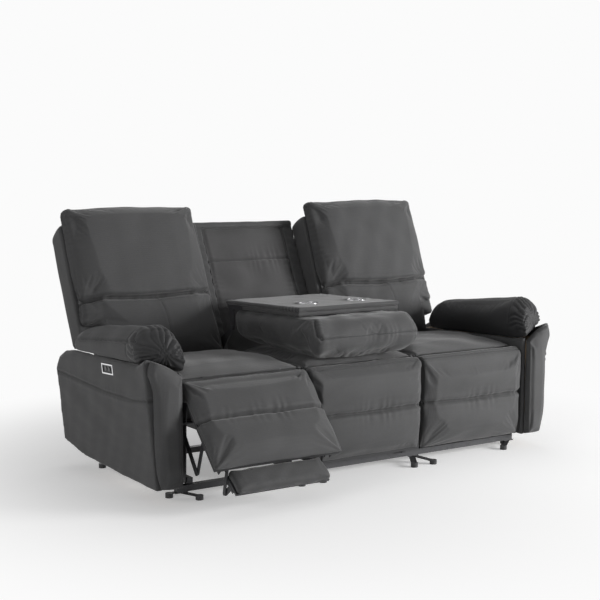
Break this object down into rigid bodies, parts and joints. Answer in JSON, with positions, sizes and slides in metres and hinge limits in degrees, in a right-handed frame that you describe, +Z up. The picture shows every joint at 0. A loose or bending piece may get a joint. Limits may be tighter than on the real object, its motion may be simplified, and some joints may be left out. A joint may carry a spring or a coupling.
{
  "type": "three-seat reclining sofa with drop-down console",
  "caption": "Upholstered reclining sofa with a fold-down middle console, power footrests and padded arms, on a steel under-frame.",
  "frame": {"origin": "on the floor under the middle of the sofa's outline in the pose of the picture", "axes": "+X along the sofa to the right as seen from the front, +Y from the front to the back, +Z up"},
  "size_m": [1.987, 1.3039, 1.0891],
  "materials": {
    "actuator_black": "black motor housing on its rail",
    "bezel_chrome": "bright rim of the switch",
    "button_black": "black push button",
    "cup_steel": "satin pressed cup",
    "fabric_arm": "short-pile upholstery fabric over padded board",
    "fabric_arm_pad": "short-pile upholstery fabric, darker on the arm tops",
    "fabric_back": "short-pile upholstery fabric over foam",
    "fabric_console": "short-pile upholstery fabric on the fold-down console",
    "fabric_footrest": "short-pile upholstery fabric over foam",
    "fabric_frame": "short-pile upholstery fabric over the back frames",
    "fabric_seat": "short-pile upholstery fabric over foam",
    "frame_wood": "plain board inside the frame",
    "glide_plastic": "black glide",
    "steel_black": "black powder coat",
    "switch_black": "black switch housing"
  },
  "bodies": {
    "base": {"actuators": "actuator_black", "arm_boards": "frame_wood", "arm_front_left": "fabric_arm", "arm_front_right": "fabric_arm", "arm_inner_left": "fabric_arm", "arm_inner_right": "fabric_arm", "arm_outer_left": "fabric_arm", "arm_outer_right": "fabric_arm", "arm_pad_left": "fabric_arm_pad", "arm_pad_right": "fabric_arm_pad", "console_pivots": "steel_black", "cross_tubes": "steel_black", "foot_brackets": "steel_black", "foot_glides": "glide_plastic", "front_cover_middle": "fabric_seat", "middle_back_cover": "fabric_frame", "middle_back_frame": "fabric_frame", "middle_back_panel": "fabric_frame", "middle_seat_box": "frame_wood", "recliner_frame_left": "steel_black", "recliner_frame_right": "steel_black", "seat_cushion_left": "fabric_seat", "seat_cushion_middle": "fabric_seat", "seat_cushion_right": "fabric_seat", "seat_decks": "frame_wood", "switch_bezels": "bezel_chrome", "switch_housings": "switch_black"},
    "back_left": {"back_bracket_left": "steel_black", "back_cushion_left": "fabric_back", "back_shell_left": "fabric_frame"},
    "back_right": {"back_bracket_right": "steel_black", "back_cushion_right": "fabric_back", "back_shell_right": "fabric_frame"},
    "button_close_left": {"button_close_left": "button_black"},
    "button_close_right": {"button_close_right": "button_black"},
    "button_open_left": {"button_open_left": "button_black"},
    "button_open_right": {"button_open_right": "button_black"},
    "carriage_left": {"carriage_left": "steel_black"},
    "carriage_right": {"carriage_right": "steel_black"},
    "console": {"console_arms": "steel_black", "console_core": "frame_wood", "console_cushion": "fabric_console", "console_table": "fabric_console", "cup_holders": "cup_steel"},
    "flip_arm_left": {"flip_arm_left": "steel_black"},
    "flip_arm_right": {"flip_arm_right": "steel_black"},
    "flip_pad_left": {"flip_bracket_left": "steel_black", "flip_pad_left": "fabric_footrest"},
    "flip_pad_right": {"flip_bracket_right": "steel_black", "flip_pad_right": "fabric_footrest"},
    "footrest_left": {"footrest_board_left": "frame_wood", "footrest_bracket_left": "steel_black", "footrest_cover_left": "fabric_seat"},
    "footrest_right": {"footrest_board_right": "frame_wood", "footrest_bracket_right": "steel_black", "footrest_cover_right": "fabric_seat"},
    "lift_left": {"lift_arm_left": "steel_black"},
    "lift_right": {"lift_arm_right": "steel_black"},
    "tie_left": {"tie_link_left": "steel_black"},
    "tie_right": {"tie_link_right": "steel_black"}
  },
  "joints": [
    {"name": "footrest_left_hinge", "type": "hinge", "parent": "base", "child": "footrest_left", "pos_m": [-0.556, -0.358, 0.415], "axis": [-1, 0, 0], "range_deg": [-44.6, 45.4]},
    {"name": "lift_left_hinge", "type": "hinge", "parent": "base", "child": "lift_left", "pos_m": [-0.556, -0.312, 0.285], "axis": [-1, 0, 0], "range_deg": [-44.6, 45.4]},
    {"name": "tie_left_hinge", "type": "hinge", "parent": "lift_left", "child": "tie_left", "pos_m": [-0.556, -0.43249, 0.12294], "axis": [-1, 0, 0], "range_deg": [-45.4, 44.6]},
    {"name": "flip_arm_left_hinge", "type": "hinge", "parent": "footrest_left", "child": "flip_arm_left", "pos_m": [-0.556, -0.57615, 0.16245], "axis": [-1, 0, 0], "range_deg": [-53.52, 54.48]},
    {"name": "flip_pad_left_hinge", "type": "hinge", "parent": "flip_arm_left", "child": "flip_pad_left", "pos_m": [-0.556, -0.55331, 0.06715], "axis": [-1, 0, 0], "range_deg": [-54.48, 53.52]},
    {"name": "carriage_left_slide", "type": "slide", "parent": "base", "child": "carriage_left", "axis": [0, -1, 0], "range_m": [-0.04904, 0.04992]},
    {"name": "back_left_recline", "type": "hinge", "parent": "base", "child": "back_left", "pos_m": [-0.556, 0.269, 0.345], "axis": [-1, 0, 0], "range_deg": [-3, 27]},
    {"name": "button_open_left_push", "type": "slide", "parent": "base", "child": "button_open_left", "axis": [0.9955, 0, 0.0944], "range_m": [0, 0.002], "stiffness_N_per_m": 300},
    {"name": "button_close_left_push", "type": "slide", "parent": "base", "child": "button_close_left", "axis": [0.9955, 0, 0.0944], "range_m": [0, 0.002], "stiffness_N_per_m": 300},
    {"name": "footrest_right_hinge", "type": "hinge", "parent": "base", "child": "footrest_right", "pos_m": [0.556, -0.358, 0.415], "axis": [-1, 0, 0], "range_deg": [0, 90]},
    {"name": "lift_right_hinge", "type": "hinge", "parent": "base", "child": "lift_right", "pos_m": [0.556, -0.312, 0.285], "axis": [-1, 0, 0], "range_deg": [0, 90]},
    {"name": "tie_right_hinge", "type": "hinge", "parent": "lift_right", "child": "tie_right", "pos_m": [0.556, -0.284, 0.085], "axis": [-1, 0, 0], "range_deg": [-90, 0]},
    {"name": "flip_arm_right_hinge", "type": "hinge", "parent": "footrest_right", "child": "flip_arm_right", "pos_m": [0.556, -0.336, 0.082], "axis": [-1, 0, 0], "range_deg": [0, 108]},
    {"name": "flip_pad_right_hinge", "type": "hinge", "parent": "flip_arm_right", "child": "flip_pad_right", "pos_m": [0.556, -0.24488, 0.11808], "axis": [-1, 0, 0], "range_deg": [-108, 0]},
    {"name": "carriage_right_slide", "type": "slide", "parent": "base", "child": "carriage_right", "axis": [0, -1, 0], "range_m": [0, 0.09896]},
    {"name": "back_right_recline", "type": "hinge", "parent": "base", "child": "back_right", "pos_m": [0.556, 0.269, 0.345], "axis": [-1, 0, 0], "range_deg": [0, 30]},
    {"name": "button_open_right_push", "type": "slide", "parent": "base", "child": "button_open_right", "axis": [-0.9955, 0, 0.0944], "range_m": [0, 0.002], "stiffness_N_per_m": 300},
    {"name": "button_close_right_push", "type": "slide", "parent": "base", "child": "button_close_right", "axis": [-0.9955, 0, 0.0944], "range_m": [0, 0.002], "stiffness_N_per_m": 300},
    {"name": "console_hinge", "type": "hinge", "parent": "base", "child": "console", "pos_m": [0, 0.259, 0.54], "axis": [-1, 0, 0], "range_deg": [0, 113]}
  ],
  "couplings": [
    {"joint": "lift_left_hinge", "follows": "footrest_left_hinge", "ratio": 1},
    {"joint": "tie_left_hinge", "follows": "footrest_left_hinge", "ratio": -1},
    {"joint": "flip_arm_left_hinge", "follows": "footrest_left_hinge", "ratio": 1.2},
    {"joint": "flip_pad_left_hinge", "follows": "footrest_left_hinge", "ratio": -1.2},
    {"joint": "carriage_left_slide", "follows": "footrest_left_hinge", "m_per_rad": 0.063},
    {"joint": "lift_right_hinge", "follows": "footrest_right_hinge", "ratio": 1},
    {"joint": "tie_right_hinge", "follows": "footrest_right_hinge", "ratio": -1},
    {"joint": "flip_arm_right_hinge", "follows": "footrest_right_hinge", "ratio": 1.2},
    {"joint": "flip_pad_right_hinge", "follows": "footrest_right_hinge", "ratio": -1.2},
    {"joint": "carriage_right_slide", "follows": "footrest_right_hinge", "m_per_rad": 0.063}
  ]
}
